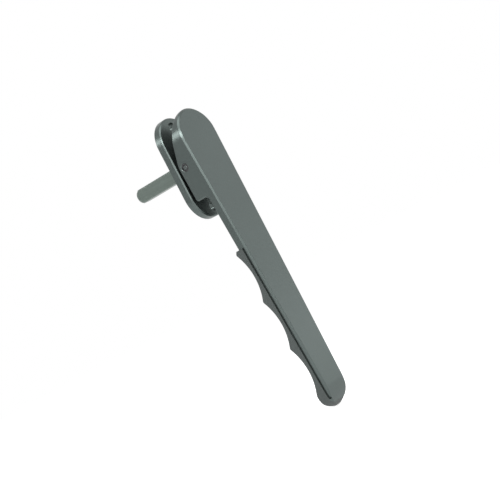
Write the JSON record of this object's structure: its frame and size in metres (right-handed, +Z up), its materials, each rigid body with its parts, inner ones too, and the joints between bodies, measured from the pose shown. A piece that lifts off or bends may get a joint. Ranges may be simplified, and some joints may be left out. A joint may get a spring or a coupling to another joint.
{
  "type": "folding handle",
  "caption": "Lever handle for folding doors and windows, with a slim rosette, a square spindle and a lever that tips out on a cross pin.",
  "frame": {"origin": "on the spindle's axis at the rosette's back face, where it meets the door", "axes": "+Y into the door along the spindle, +Z up the rosette, and the lever hangs down at rest"},
  "size_m": [0.027, 0.0536, 0.1599],
  "materials": {
    "handle_paint": "satin metallic paint, greenish grey",
    "grip": "satin, moulded in the lever's colour",
    "spindle_steel": "satin, metallic coating in the lever's colour",
    "inner_steel": "plain, zinc plated",
    "spring_steel": "plain, oiled",
    "bearing_plastic": "matte, black acetal"
  },
  "bodies": {
    "base": {"rosette": "handle_paint", "bearing_bush": "bearing_plastic", "disc_spring": "spring_steel"},
    "turning_hub": {"hub": "inner_steel", "spindle": "spindle_steel", "spindle_pin": "inner_steel", "retaining_ring": "spring_steel", "pivot_pin": "inner_steel", "side_washer_left": "bearing_plastic", "side_washer_right": "bearing_plastic"},
    "lever_arm": {"lever": "handle_paint", "finger_grip": "grip", "pivot_bush_left": "bearing_plastic", "pivot_bush_right": "bearing_plastic", "detent_spring": "spring_steel"}
  },
  "joints": [
    {"name": "handle_turn", "type": "hinge", "parent": "base", "child": "turning_hub", "pos_m": [0, 0, 0], "axis": [0, 1, 0], "range_deg": [-90, 90]},
    {"name": "lever_fold", "type": "hinge", "parent": "turning_hub", "child": "lever_arm", "pos_m": [0, -0.0095, 0], "axis": [-1, 0, 0], "range_deg": [0, 18]}
  ]
}
